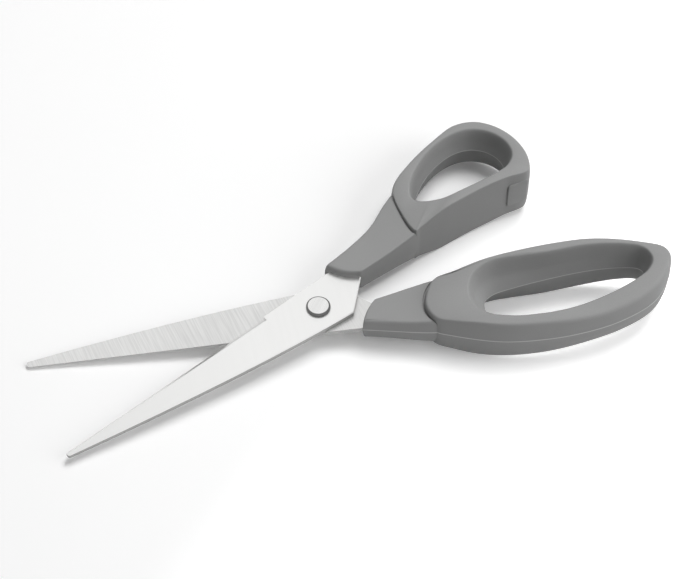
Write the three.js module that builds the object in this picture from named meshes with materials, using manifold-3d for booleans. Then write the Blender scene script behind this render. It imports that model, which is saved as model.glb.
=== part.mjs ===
// Craft scissors: two riveted steel blades with two-part moulded handles, in millimetres, +Z up.
// The origin is on the pivot axis, at the flat underside of the rivet. Each half is drawn in a frame
// of its own: blade towards -X, cutting edge and handle towards +Y, inner face of the blade at Z = 0.
import * as THREE from 'three';
import { mergeVertices } from 'three/addons/utils/BufferGeometryUtils.js';
import Module from 'manifold-3d';

const wasm = await Module();
wasm.setup();

// Opening at rest, counted from tip over tip, and the play between pieces.
const REST_OPENING_DEG = 23.2;
const MOULD_GAP = 0.3;
const BLADE_GAP = 0.1;
const PIVOT_PLAY = 0.06;
const SEAT_GAP = 0.05;

// Blade, the same part in both halves.
const BLADE_REACH = 95.5;
const BLADE_THICKNESS = 1.8;
const TIP_THICKNESS = 1.2;
const TIP_WIDTH = 2.3;
const EDGE_OFFSET = 9.0;
const SPINE_OFFSET = 8.4;
const SPINE_BELLY = 32;
const SHOULDER_REACH = 8.1;
const RICASSO_LENGTH = 16.3;
const SHARPENING_DEPTH = 0.3;
const BEVEL_WIDTH = 1.7;
const EDGE_LAND = 0.2;
const BLADE_CHAMFER = 0.3;

// Tang, the tail of the blade that the handle is moulded round.
const TANG_START_X = 20;
const TANG_START_Y = 7.3;
const TANG_END_X = 37;
const TANG_END_Y = 10.6;
const TANG_WIDTH = 7;
const TANG_HOLE_RADIUS = 2;
const TANG_HOLE_INSET = 4.6;

// Pivot rivet and its washer.
const SHANK_RADIUS = 2.5;
const HEAD_RADIUS = 4.0;
const HEAD_HEIGHT = 1.0;
const HEAD_BEVEL = 0.6;
const HEAD_CROWN = 0.15;
const WASHER_RADIUS = 4.2;
const WASHER_THICKNESS = 0.5;
const TAIL_RADIUS = 3.4;
const TAIL_HEIGHT = 0.7;
const TAIL_BEVEL = 0.35;

// Hard cores: the neck round the tang, the plug behind it and the ring inside the soft loop.
const THUMB_NECK_HALF_FRONT = 4.5;
const THUMB_NECK_HALF_REAR = 8.6;
const THUMB_NECK_EDGE_FACING = 0.5;
const THUMB_NOSE = 2.4;
const THUMB_NOSE_BOW = 1.4;
const FINGER_NECK_HALF_FRONT = 4.4;
const FINGER_NECK_HALF_REAR = 6.6;
const FINGER_NOSE = 1.0;
const FINGER_NOSE_BOW = 0.8;
const NECK_EDGE = 1.1;
const CORE_HALF = 3.0;
const PLUG_WALL = 1.4;
const PLUG_OVERLAP = 4;

// Soft loops: where each starts along X and Y, its size, and the width of its ring on each side.
// Both are thicker along the side that faces the other loop than along the outer side.
const THUMB_FRONT = 41.9;
const THUMB_SIDE = 0.6;
const THUMB_LENGTH = 53.3;
const THUMB_WIDTH = 32.7;
const THUMB_RING_FRONT = 9.7;
const THUMB_RING_REAR = 6.4;
const THUMB_RING_FACING = 8.0;
const THUMB_RING_OUTER = 5.7;
const THUMB_EDGE_FRONT = 0.8;
const THUMB_EDGE_FACING = 0.4;
const THUMB_DRAFT_FRONT = 1.4;
const THUMB_DRAFT_FACING = 2.0;
const THUMB_DRAFT_OUTER = 1.6;
const THUMB_DRAFT_RUN = 6;
const THUMB_FACING_HALF_FRONT = 7.4;
const THUMB_FACING_HALF = 10.5;
const THUMB_FACING_HALF_REAR = 9.0;
const THUMB_OUTER_HALF_FRONT = 7.2;
const THUMB_OUTER_HALF = 8.4;
const THUMB_LAND_START = 14;
const THUMB_LAND_END = 30;

const FINGER_FRONT = 32.7;
const FINGER_SIDE = -2.2;
const FINGER_LENGTH = 84.7;
const FINGER_WIDTH = 30.7;
const FINGER_RING_FRONT = 20.5;
const FINGER_RING_REAR = 9.2;
const FINGER_RING_FACING = 6.4;
const FINGER_RING_OUTER = 7.2;
const FINGER_EDGE_OUTER_FRONT = 0.6;
const FINGER_EDGE_OUTER_REAR = 3.4;
const FINGER_DRAFT_FRONT = 5.2;
const FINGER_DRAFT_FACING = 2.2;
const FINGER_DRAFT_OUTER = 1.6;
const FINGER_DRAFT_RUN = 28;
const FINGER_FACING_HALF_FRONT = 7.6;
const FINGER_FACING_HALF = 11.8;
const FINGER_FACING_HALF_REAR = 9.2;
const FINGER_FACING_LAND_START = 25;
const FINGER_FACING_LAND_END = 52;
const FINGER_OUTER_HALF_FRONT = 6.6;
const FINGER_OUTER_HALF = 8.2;
const FINGER_OUTER_HALF_REAR = 6.4;
const FINGER_OUTER_LAND_START = 17;
const FINGER_OUTER_LAND_END = 33;
const FINGER_OUTER_FALL_END = 60;

const LOOP_EDGE = 1.5;
const LOOP_LIP = 1.0;
const LOOP_RIM = 0.8;
const GRIP_WALL_OUTER = 2.2;
const GRIP_WALL_INNER = 1.4;

// Stop pad, let into the side of the thumb loop that faces the finger loop.
const PAD_REAR_MARGIN = 4.2;
const PAD_LENGTH = 7.8;
const PAD_HEIGHT = 10.6;
const PAD_CORNER = 1.2;
const PAD_PROUD = 0.6;
const PAD_SUNK = 0.9;
const PAD_BEVEL = 0.3;

// Fineness of the faceting.
const ROUND_SIDES = 32;
const CURVE_STEPS = 4;
const EDGE_LEVELS = 3;
const NECK_STATIONS = 10;
const NECK_ACROSS = 4;

const STEEL = { color: 0xd6d6d3, roughness: 0.32, metalness: 1 };
const RIVET_STEEL = { color: 0xc4c4c2, roughness: 0.25, metalness: 1 };
const HARD_PLASTIC = { color: 0x868686, roughness: 0.55, metalness: 0 };
const SOFT_PLASTIC = { color: 0x8b8b8b, roughness: 0.75, metalness: 0 };

const BLADE_LOW = BLADE_GAP / 2;
const BLADE_HIGH = BLADE_LOW + BLADE_THICKNESS;
const THROUGH = 4 * BLADE_HIGH;

// Solids from closed geometry, and back again.

function toSolid(geometry) {
  const bare = geometry.clone();
  bare.deleteAttribute('normal');
  bare.deleteAttribute('uv');
  const merged = mergeVertices(bare, 1e-4);
  const index = merged.index.array;
  const triangles = [];
  for (let i = 0; i < index.length; i += 3) {
    const [a, b, c] = [index[i], index[i + 1], index[i + 2]];
    if (a !== b && b !== c && c !== a) triangles.push(a, b, c);
  }
  return new wasm.Manifold(new wasm.Mesh({
    numProp: 3,
    vertProperties: new Float32Array(merged.attributes.position.array),
    triVerts: new Uint32Array(triangles),
  }));
}

function toGeometry(solid) {
  const { vertProperties, triVerts } = solid.getMesh();
  const geometry = new THREE.BufferGeometry();
  geometry.setAttribute('position', new THREE.BufferAttribute(vertProperties, 3));
  geometry.setIndex(new THREE.BufferAttribute(triVerts, 1));
  geometry.computeVertexNormals();
  return geometry;
}

function indexed(points, faces) {
  return new THREE.BufferGeometry().setFromPoints(points).setIndex(faces);
}

// A solid through outlines of equal count stacked in Z, each given as { points, z }.
function stack(rings) {
  const count = rings[0].points.length;
  const points = rings.flatMap((ring) => ring.points.map((p) => new THREE.Vector3(p.x, p.y, ring.z)));
  const faces = [];
  for (let r = 0; r + 1 < rings.length; r += 1) {
    for (let i = 0; i < count; i += 1) {
      const j = (i + 1) % count;
      const [a, b, c, d] = [r * count + i, r * count + j, (r + 1) * count + j, (r + 1) * count + i];
      faces.push(a, b, c, a, c, d);
    }
  }
  const top = (rings.length - 1) * count;
  for (const [a, b, c] of THREE.ShapeUtils.triangulateShape(rings[0].points, [])) faces.push(c, b, a);
  for (const [a, b, c] of THREE.ShapeUtils.triangulateShape(rings.at(-1).points, [])) {
    faces.push(top + a, top + b, top + c);
  }
  return toSolid(indexed(points, faces));
}

// A solid through closed sections of equal count, which either close into a ring or end in two caps.
// The second half of an end section mirrors its first half, so a cap is a strip between the two.
function loft(sections, ring) {
  const count = sections[0].length;
  const faces = [];
  const spans = ring ? sections.length : sections.length - 1;
  for (let station = 0; station < spans; station += 1) {
    const next = (station + 1) % sections.length;
    for (let k = 0; k < count; k += 1) {
      const up = (k + 1) % count;
      const [a, b] = [station * count + k, next * count + k];
      const [c, d] = [next * count + up, station * count + up];
      faces.push(a, b, c, a, c, d);
    }
  }
  const last = (sections.length - 1) * count;
  for (let k = 0; !ring && k < count / 2; k += 1) {
    const [a, b, c, d] = [k, k + 1, count - k - 1, (count - k) % count];
    faces.push(a, b, c, a, c, d, last + a, last + c, last + b, last + a, last + d, last + c);
  }
  return toSolid(indexed(sections.flat(), faces));
}

function slab(points, low, high) {
  return stack([{ points, z: low }, { points, z: high }]);
}

function drum(centre, radius, height) {
  const cylinder = new THREE.CylinderGeometry(radius, radius, height, ROUND_SIDES);
  return toSolid(cylinder.rotateX(Math.PI / 2).translate(centre.x, centre.y, 0));
}

// Turned solid from a profile of radius and height, which starts and ends on the axis.
function turned(profile) {
  const points = profile.map(([radius, height]) => new THREE.Vector2(radius, height));
  return toSolid(new THREE.LatheGeometry(points, ROUND_SIDES).rotateX(Math.PI / 2));
}

// Outlines in the plane of the blades, counterclockwise.

function closedCurve(controls) {
  const knots = controls.map((p) => new THREE.Vector3(p.x, p.y, 0));
  const curve = new THREE.CatmullRomCurve3(knots, true, 'centripetal');
  const points = curve.getPoints(controls.length * CURVE_STEPS).slice(0, -1);
  return points.map((p) => new THREE.Vector2(p.x, p.y));
}

// Outward normals, lengthened at corners so that both sides of a corner move by the same amount.
function outwardNormals(points) {
  const last = points.length - 1;
  return points.map((point, i) => {
    const before = point.clone().sub(points[i === 0 ? last : i - 1]).normalize();
    const after = points[i === last ? 0 : i + 1].clone().sub(point).normalize();
    return new THREE.Vector2(before.y + after.y, -before.x - after.x).divideScalar(1 + before.dot(after));
  });
}

// Moves each point of an outline inwards by its amount, or outwards where that is negative.
function inset(points, amounts) {
  const normals = outwardNormals(points);
  return points.map((point, i) => point.clone().addScaledVector(normals[i], -amounts[i]));
}

function insetAll(points, amount) {
  return inset(points, points.map(() => amount));
}

// Rounded edge of a moulding: how far in and how high it is, both from 0 to 1, at each of its levels.
function edgeLevels(power) {
  return Array.from({ length: EDGE_LEVELS + 1 }, (_, level) => {
    const angle = (level / EDGE_LEVELS) * (Math.PI / 2);
    const drop = level === EDGE_LEVELS ? 0 : Math.cos(angle) ** (2 / power);
    return { inward: 1 - drop, height: Math.sin(angle) ** (2 / power) };
  });
}

const BOXY_EDGE = edgeLevels(3);

// Blade with its tang: a stamped outline, thinned to the tip and bevelled along the cutting edge.

function edgeY(x) {
  return EDGE_OFFSET + (x * (EDGE_OFFSET - TIP_WIDTH / 2)) / BLADE_REACH;
}

const TANG_START = new THREE.Vector2(TANG_START_X, TANG_START_Y);
const TANG_END = new THREE.Vector2(TANG_END_X, TANG_END_Y);
const TANG_DIRECTION = TANG_END.clone().sub(TANG_START).normalize();
const TANG_HOLES = [
  TANG_START.clone().addScaledVector(TANG_DIRECTION, TANG_HOLE_INSET),
  TANG_END.clone().addScaledVector(TANG_DIRECTION, -TANG_HOLE_INSET),
];
const EDGE_START = new THREE.Vector2(
  -RICASSO_LENGTH - SHARPENING_DEPTH,
  edgeY(-RICASSO_LENGTH) - SHARPENING_DEPTH,
);
const EDGE_END = new THREE.Vector2(TIP_WIDTH / 2 - BLADE_REACH, TIP_WIDTH / 2);

function bladeOutline() {
  const tip = TIP_WIDTH / 2;
  const side = new THREE.Vector2(-TANG_DIRECTION.y, TANG_DIRECTION.x).multiplyScalar(TANG_WIDTH / 2);
  const shape = new THREE.Shape();
  shape.moveTo(SHOULDER_REACH, -SPINE_OFFSET);
  shape.lineTo(TANG_START.x - side.x, TANG_START.y - side.y);
  shape.lineTo(TANG_END.x - side.x, TANG_END.y - side.y);
  shape.lineTo(TANG_END.x + side.x, TANG_END.y + side.y);
  shape.lineTo(TANG_START.x + side.x, TANG_START.y + side.y);
  shape.lineTo(SHOULDER_REACH, edgeY(SHOULDER_REACH));
  shape.lineTo(-RICASSO_LENGTH, edgeY(-RICASSO_LENGTH));
  shape.lineTo(EDGE_START.x, EDGE_START.y);
  shape.lineTo(EDGE_END.x, EDGE_END.y);
  shape.quadraticCurveTo(-BLADE_REACH, tip, -BLADE_REACH, 0);
  shape.quadraticCurveTo(-BLADE_REACH, -tip, tip - BLADE_REACH, -tip);
  shape.quadraticCurveTo(-SPINE_BELLY, -SPINE_OFFSET, SHOULDER_REACH, -SPINE_OFFSET);
  return shape.getPoints(CURVE_STEPS * 2).slice(0, -1);
}

// A long cut with a three-cornered section, from a start point along a direction in the blade's plane.
function planed(section, start, direction, length) {
  const corners = section.map(([across, up]) => new THREE.Vector2(across, up));
  const cut = new THREE.ExtrudeGeometry(new THREE.Shape(corners), { depth: length, bevelEnabled: false });
  const ahead = new THREE.Vector3(direction.x, direction.y, 0);
  const up = new THREE.Vector3(0, 0, 1);
  const across = up.clone().cross(ahead);
  cut.applyMatrix4(new THREE.Matrix4().makeBasis(across, up, ahead));
  return toSolid(cut.translate(start.x, start.y, 0));
}

// Bevel of the cutting edge, which runs from a thin land up to the outer face.
function edgeBevel() {
  const towardsPivot = EDGE_START.clone().sub(EDGE_END).normalize();
  const start = EDGE_END.clone().addScaledVector(towardsPivot, -TIP_WIDTH);
  const slope = (BLADE_THICKNESS - EDGE_LAND) / BEVEL_WIDTH;
  const over = BLADE_THICKNESS;
  const section = [
    [-BEVEL_WIDTH - over / slope, BLADE_HIGH + over],
    [over, BLADE_LOW + EDGE_LAND - over * slope],
    [over, BLADE_HIGH + over],
  ];
  return planed(section, start, towardsPivot, EDGE_START.distanceTo(EDGE_END) + TIP_WIDTH);
}

// Taper of the outer face, from the ricasso down to the tip.
function tipTaper() {
  const wide = 4 * EDGE_OFFSET;
  const run = BLADE_REACH - RICASSO_LENGTH;
  const fall = (BLADE_THICKNESS - TIP_THICKNESS) / run;
  const over = BLADE_THICKNESS;
  const section = [
    [-over / fall, BLADE_HIGH + over],
    [run + over, BLADE_HIGH - (run + over) * fall],
    [run + over, BLADE_HIGH + over],
  ];
  const start = new THREE.Vector2(-RICASSO_LENGTH, -wide / 2);
  return planed(section, start, new THREE.Vector2(0, 1), wide);
}

function bladeSolid() {
  const outline = bladeOutline();
  let blade = stack([
    { points: outline, z: BLADE_LOW },
    { points: outline, z: BLADE_HIGH - BLADE_CHAMFER },
    { points: insetAll(outline, BLADE_CHAMFER), z: BLADE_HIGH },
  ]);
  blade = blade.subtract(drum(new THREE.Vector2(), SHANK_RADIUS + PIVOT_PLAY, THROUGH));
  for (const hole of TANG_HOLES) blade = blade.subtract(drum(hole, TANG_HOLE_RADIUS, THROUGH));
  return blade.subtract(tipTaper()).subtract(edgeBevel());
}

// Closes a section that is given from its facing side over the top to its other side.
function mirrored(upper) {
  const lower = upper.slice(1, -1).reverse().map((p) => new THREE.Vector3(p.x, p.y, -p.z));
  return [...upper, ...lower];
}

// Loop: the outlines of a soft ring and its hole, given as shares of their boxes, and its thickness.

// How much of a normal points to the front, to the other half of the scissors, outwards, and to the rear.
function shares(normal) {
  const share = (reach) => Math.max(0, reach) ** 2 / normal.lengthSq();
  return {
    front: share(-normal.x),
    facing: share(-normal.y),
    outer: share(normal.y),
    rear: share(normal.x),
  };
}

// Half the thickness along one side: it rises from the front, stays level, and falls to the rear.
function sideHalf(side, run) {
  const rise = THREE.MathUtils.smoothstep(run, 0, side.landStart);
  const fall = THREE.MathUtils.smoothstep(run, side.landEnd, side.fallEnd);
  return side.front + (side.half - side.front) * rise - (side.half - side.rear) * fall;
}

// Half the thickness at a point, between that of the facing side and that of the outer side.
function halfAt(size, point) {
  const run = point.x - size.front;
  const across = THREE.MathUtils.clamp((point.y - size.side) / size.width, 0, 1);
  return THREE.MathUtils.lerp(sideHalf(size.facing, run), sideHalf(size.outer, run), across);
}

function makeLoop(size, wallShares, holeShares) {
  const at = (u, v) => new THREE.Vector2(size.front + u * size.length, size.side + v * size.width);
  const holeFront = size.front + size.ringFront;
  const holeLength = size.length - size.ringFront - size.ringRear;
  const holeWidth = size.width - size.ringFacing - size.ringOuter;
  const holeAt = (u, v) => new THREE.Vector2(
    holeFront + u * holeLength,
    size.side + size.ringFacing + v * holeWidth,
  );
  const wall = closedCurve(wallShares.map(([u, v]) => at(u, v)));
  const hole = closedCurve(holeShares.map(([u, v]) => holeAt(u, v)));
  const edges = outwardNormals(wall).map((normal, i) => {
    const { front, facing, outer, rear } = shares(normal);
    const along = (wall[i].x - size.front) / size.length;
    const edgeOuter = THREE.MathUtils.lerp(size.edgeOuterFront, size.edgeOuterRear, along);
    return size.edgeFront * front + size.edgeFacing * facing + edgeOuter * outer + LOOP_EDGE * rear;
  });
  const drafts = outwardNormals(hole).map((normal, i) => {
    const { front, facing, outer, rear } = shares(normal);
    const behind = THREE.MathUtils.smoothstep(hole[i].x, holeFront, holeFront + size.draftRun);
    const draftFacing = THREE.MathUtils.lerp(size.draftFront, size.draftFacing, behind);
    const draft = size.draftFront * front + draftFacing * facing + size.draftOuter * (outer + rear);
    return Math.min(draft, wall[i].distanceTo(hole[i]) - edges[i] - LOOP_RIM - LOOP_LIP);
  });
  const rim = inset(hole, drafts.map((draft) => -draft - LOOP_LIP));
  const wallHalves = inset(wall, edges).map((point) => halfAt(size, point));
  const rimHalves = rim.map((point) => halfAt(size, point));
  return { at, wall, hole, edges, drafts, wallHalves, rimHalves };
}

// The soft ring: a boxy outer edge, a band on top, and a small lip over walls that slope into the hole.
function ringSolid(loop) {
  const outer = BOXY_EDGE.map(({ inward }) => inset(loop.wall, loop.edges.map((edge) => edge * inward)));
  const inner = BOXY_EDGE.map(({ inward, height }) => {
    return inset(loop.hole, loop.drafts.map((draft) => -draft * height - LOOP_LIP * inward));
  });
  return loft(loop.wall.map((_, i) => {
    const up = BOXY_EDGE.map(({ height }, k) => [outer[k][i], loop.wallHalves[i] * height]);
    const down = BOXY_EDGE.map(({ height }, k) => [inner[k][i], loop.rimHalves[i] * height]).reverse();
    return mirrored([...up, ...down].map(([p, z]) => new THREE.Vector3(p.x, p.y, z)));
  }), true);
}

// The hard ring and plug inside a soft ring, larger by the gap when it is cut out of that ring.
function insertSolid(loop, gap) {
  const wall = insetAll(loop.wall, GRIP_WALL_OUTER - gap);
  const hole = inset(loop.hole, loop.drafts.map((draft, i) => {
    return gap - GRIP_WALL_INNER - (draft * CORE_HALF) / loop.rimHalves[i];
  }));
  const half = CORE_HALF + gap;
  const ring = loft(wall.map((point, i) => [
    new THREE.Vector3(point.x, point.y, -half),
    new THREE.Vector3(point.x, point.y, half),
    new THREE.Vector3(hole[i].x, hole[i].y, half),
    new THREE.Vector3(hole[i].x, hole[i].y, -half),
  ]), true);
  const front = loop.at(0, 0).x;
  const reach = GRIP_WALL_OUTER + PLUG_OVERLAP;
  const side = TANG_WIDTH / 2 + PLUG_WALL + gap;
  const plug = [
    new THREE.Vector2(front - PLUG_OVERLAP - gap, TANG_END.y - side),
    new THREE.Vector2(front + reach + gap, TANG_END.y - side),
    new THREE.Vector2(front + reach + gap, TANG_END.y + side),
    new THREE.Vector2(front - PLUG_OVERLAP - gap, TANG_END.y + side),
  ];
  return ring.add(slab(plug, -half, half));
}

// The neck: sections between two rails, from a rounded nose over the blade back into the loop.
function neckSolid(neck) {
  const rail = (pairs) => new THREE.SplineCurve(pairs.map(([x, y]) => new THREE.Vector2(x, y)));
  const [facing, outer] = [rail(neck.facing), rail(neck.outer)];
  const section = (share, rise) => {
    const start = facing.getPoint(share);
    const across = outer.getPoint(share).sub(start);
    const width = across.length();
    across.normalize();
    const ahead = new THREE.Vector2(-across.y, across.x);
    const half = rise * THREE.MathUtils.lerp(neck.halfFront, neck.halfRear, share ** 2);
    const bow = 4 * neck.bow * (1 - share) ** 2;
    const point = (depth, height) => {
      const t = depth / width;
      const place = start.clone().addScaledVector(across, depth).addScaledVector(ahead, bow * t * (1 - t));
      return new THREE.Vector3(place.x, place.y, half * height);
    };
    const top = Array.from({ length: NECK_ACROSS - 1 }, (_, k) => point((width * (k + 1)) / NECK_ACROSS, 1));
    return mirrored([
      ...BOXY_EDGE.map(({ inward, height }) => point(neck.edgeFacing * inward, height)),
      ...top,
      ...BOXY_EDGE.map(({ inward, height }) => point(width - NECK_EDGE * inward, height)).reverse(),
    ]);
  };
  const nose = neck.nose / facing.getLength();
  const stations = Array.from({ length: NECK_STATIONS }, (_, k) => {
    return section(THREE.MathUtils.lerp(nose, 1, (k + 1) / NECK_STATIONS), 1);
  });
  return loft([
    ...BOXY_EDGE.slice(1).map(({ inward, height }) => section(nose * inward, height)),
    ...stations,
  ], false);
}

// The slot that a blade and its tang need in the mouldings.
function tangSlot() {
  return slab(insetAll(bladeOutline(), -MOULD_GAP), BLADE_LOW - MOULD_GAP, BLADE_HIGH + MOULD_GAP);
}

// The hard core: neck and insert round the tang, with pegs through the tang's holes.
function coreSolid(neck, loop) {
  const tall = 2 * neck.halfRear;
  const envelope = slab(insetAll(loop.wall, -MOULD_GAP), -tall, tall);
  let slot = tangSlot();
  for (const hole of TANG_HOLES) slot = slot.subtract(drum(hole, TANG_HOLE_RADIUS - MOULD_GAP, THROUGH));
  return neckSolid(neck).subtract(envelope).add(insertSolid(loop, 0)).subtract(slot);
}

function gripSolid(loop) {
  return ringSolid(loop).subtract(insertSolid(loop, MOULD_GAP)).subtract(tangSlot());
}

// Stop pad, a rounded block that stands a little proud of the wall it is let into.
function padSolid(start, angle, sunk, grow) {
  const length = PAD_LENGTH + 2 * grow;
  const height = PAD_HEIGHT + 2 * grow;
  const [x, y, r] = [length / 2, height / 2, PAD_CORNER + grow];
  const shape = new THREE.Shape();
  shape.absarc(x - r, y - r, r, 0, Math.PI / 2);
  shape.absarc(r - x, y - r, r, Math.PI / 2, Math.PI);
  shape.absarc(r - x, r - y, r, Math.PI, 1.5 * Math.PI);
  shape.absarc(x - r, r - y, r, 1.5 * Math.PI, 2 * Math.PI);
  const block = new THREE.ExtrudeGeometry(shape, {
    depth: sunk + PAD_PROUD - 2 * PAD_BEVEL,
    bevelSize: PAD_BEVEL,
    bevelOffset: -PAD_BEVEL,
    bevelThickness: PAD_BEVEL,
    bevelSegments: 1,
    curveSegments: CURVE_STEPS,
  });
  block.translate(0, 0, PAD_BEVEL - sunk).rotateX(Math.PI / 2).rotateZ(angle);
  return toSolid(block.translate(start.x, start.y, 0));
}

// Rivet and washer, from the tail under the lower blade to the head over the upper one.
const WASHER_TOP = -BLADE_HIGH - SEAT_GAP;
const TAIL_TOP = WASHER_TOP - WASHER_THICKNESS - SEAT_GAP;
const TAIL_FACE = TAIL_TOP - TAIL_HEIGHT;
const HEAD_SEAT = BLADE_HIGH + SEAT_GAP;

function rivetSolid() {
  return turned([
    [0, TAIL_FACE],
    [TAIL_RADIUS - TAIL_BEVEL, TAIL_FACE],
    [TAIL_RADIUS, TAIL_FACE + TAIL_BEVEL],
    [TAIL_RADIUS, TAIL_TOP],
    [SHANK_RADIUS, TAIL_TOP],
    [SHANK_RADIUS, HEAD_SEAT],
    [HEAD_RADIUS, HEAD_SEAT],
    [HEAD_RADIUS, HEAD_SEAT + HEAD_HEIGHT - HEAD_BEVEL],
    [HEAD_RADIUS - HEAD_BEVEL, HEAD_SEAT + HEAD_HEIGHT],
    [0, HEAD_SEAT + HEAD_HEIGHT + HEAD_CROWN],
  ]);
}

function washerSolid() {
  const disc = drum(new THREE.Vector2(), WASHER_RADIUS, WASHER_THICKNESS);
  const bored = disc.subtract(drum(new THREE.Vector2(), SHANK_RADIUS + PIVOT_PLAY, THROUGH));
  return bored.translate(0, 0, WASHER_TOP - WASHER_THICKNESS / 2);
}

const thumbLoop = makeLoop({
  front: THUMB_FRONT,
  side: THUMB_SIDE,
  length: THUMB_LENGTH,
  width: THUMB_WIDTH,
  ringFront: THUMB_RING_FRONT,
  ringRear: THUMB_RING_REAR,
  ringFacing: THUMB_RING_FACING,
  ringOuter: THUMB_RING_OUTER,
  edgeFront: THUMB_EDGE_FRONT,
  edgeFacing: THUMB_EDGE_FACING,
  edgeOuterFront: LOOP_EDGE,
  edgeOuterRear: LOOP_EDGE,
  draftFront: THUMB_DRAFT_FRONT,
  draftFacing: THUMB_DRAFT_FACING,
  draftOuter: THUMB_DRAFT_OUTER,
  draftRun: THUMB_DRAFT_RUN,
  facing: {
    front: THUMB_FACING_HALF_FRONT,
    half: THUMB_FACING_HALF,
    rear: THUMB_FACING_HALF_REAR,
    landStart: THUMB_LAND_START,
    landEnd: THUMB_LAND_END,
    fallEnd: THUMB_LENGTH,
  },
  outer: {
    front: THUMB_OUTER_HALF_FRONT,
    half: THUMB_OUTER_HALF,
    rear: THUMB_OUTER_HALF,
    landStart: THUMB_LAND_START,
    landEnd: THUMB_LAND_END,
    fallEnd: THUMB_LENGTH,
  },
}, [
  [0.008, 0.08], [0.19, 0.082], [0.45, 0.077], [0.71, 0.04], [0.88, 0], [0.97, 0.18], [1, 0.445],
  [0.97, 0.695], [0.885, 0.9], [0.745, 1], [0.56, 0.961], [0.3, 0.845], [0.095, 0.68], [0.02, 0.371],
], [
  [0.05, 0.18], [0.145, 0.095], [0.387, 0.04], [0.683, 0], [0.87, 0.04], [0.968, 0.18], [1, 0.41],
  [0.962, 0.695], [0.86, 0.905], [0.7, 1], [0.468, 0.947], [0.226, 0.747], [0.054, 0.495], [0, 0.316],
]);

const fingerLoop = makeLoop({
  front: FINGER_FRONT,
  side: FINGER_SIDE,
  length: FINGER_LENGTH,
  width: FINGER_WIDTH,
  ringFront: FINGER_RING_FRONT,
  ringRear: FINGER_RING_REAR,
  ringFacing: FINGER_RING_FACING,
  ringOuter: FINGER_RING_OUTER,
  edgeFront: LOOP_EDGE,
  edgeFacing: LOOP_EDGE,
  edgeOuterFront: FINGER_EDGE_OUTER_FRONT,
  edgeOuterRear: FINGER_EDGE_OUTER_REAR,
  draftFront: FINGER_DRAFT_FRONT,
  draftFacing: FINGER_DRAFT_FACING,
  draftOuter: FINGER_DRAFT_OUTER,
  draftRun: FINGER_DRAFT_RUN,
  facing: {
    front: FINGER_FACING_HALF_FRONT,
    half: FINGER_FACING_HALF,
    rear: FINGER_FACING_HALF_REAR,
    landStart: FINGER_FACING_LAND_START,
    landEnd: FINGER_FACING_LAND_END,
    fallEnd: FINGER_LENGTH,
  },
  outer: {
    front: FINGER_OUTER_HALF_FRONT,
    half: FINGER_OUTER_HALF,
    rear: FINGER_OUTER_HALF_REAR,
    landStart: FINGER_OUTER_LAND_START,
    landEnd: FINGER_OUTER_LAND_END,
    fallEnd: FINGER_OUTER_FALL_END,
  },
}, [
  [0, 0.44], [0.019, 0.252], [0.066, 0.097], [0.157, 0.072], [0.346, 0.016], [0.547, 0],
  [0.736, 0.031], [0.889, 0.128], [0.983, 0.246], [1, 0.365], [0.979, 0.505], [0.893, 0.766],
  [0.735, 0.94], [0.56, 1], [0.405, 0.984], [0.255, 0.91], [0.086, 0.72], [0.025, 0.62],
], [
  [0, 0.433], [0.018, 0.263], [0.078, 0.146], [0.215, 0.076], [0.415, 0.023], [0.615, 0],
  [0.76, 0.018], [0.887, 0.076], [0.978, 0.17], [1, 0.287], [0.97, 0.44], [0.833, 0.667],
  [0.633, 0.865], [0.43, 0.988], [0.27, 1], [0.142, 0.942], [0.055, 0.813], [0.011, 0.637],
]);

const thumbNeck = {
  halfFront: THUMB_NECK_HALF_FRONT,
  halfRear: THUMB_NECK_HALF_REAR,
  edgeFacing: THUMB_NECK_EDGE_FACING,
  nose: THUMB_NOSE,
  bow: THUMB_NOSE_BOW,
  facing: [[18.8, 2], [27, 2.1], [35, 2.4], [41.5, 2.95], [46, 5]],
  outer: [[10.9, 11.5], [22.2, 13.2], [32.1, 15.5], [41, 19.7], [49, 22.4]],
};

const fingerNeck = {
  halfFront: FINGER_NECK_HALF_FRONT,
  halfRear: FINGER_NECK_HALF_REAR,
  edgeFacing: NECK_EDGE,
  nose: FINGER_NOSE,
  bow: FINGER_NOSE_BOW,
  facing: [[18.5, 2.4], [25, 1.3], [31.5, 0.45], [38.3, 0], [43, 1.6]],
  outer: [[12.3, 10.9], [21, 13.5], [28.5, 15.8], [35, 17.4], [41, 18.2]],
};

// Assembly: the finger half lies face up along X, and the thumb half is turned open over it.

function piece(name, solid, finish) {
  const mesh = new THREE.Mesh(toGeometry(solid), new THREE.MeshStandardMaterial(finish));
  mesh.name = name;
  return mesh;
}

const padFrom = thumbLoop.at(0.71, 0.04);
const padTo = thumbLoop.at(0.88, 0);
const padAngle = padTo.clone().sub(padFrom).angle();
const padPlace = padTo.clone().lerp(padFrom, PAD_REAR_MARGIN / padFrom.distanceTo(padTo));
const thumbGrip = gripSolid(thumbLoop).subtract(padSolid(padPlace, padAngle, PAD_SUNK + MOULD_GAP, MOULD_GAP));

const thumbHalf = new THREE.Group();
thumbHalf.rotation.z = THREE.MathUtils.degToRad(REST_OPENING_DEG);
thumbHalf.add(
  piece('thumb_blade', bladeSolid(), STEEL),
  piece('thumb_core', coreSolid(thumbNeck, thumbLoop), HARD_PLASTIC),
  piece('thumb_grip', thumbGrip, SOFT_PLASTIC),
  piece('stop_pad', padSolid(padPlace, padAngle, PAD_SUNK, 0), SOFT_PLASTIC),
);

const fingerHalf = new THREE.Group();
fingerHalf.rotation.x = Math.PI;
fingerHalf.add(
  piece('finger_blade', bladeSolid(), STEEL),
  piece('finger_core', coreSolid(fingerNeck, fingerLoop), HARD_PLASTIC),
  piece('finger_grip', gripSolid(fingerLoop), SOFT_PLASTIC),
);

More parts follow.
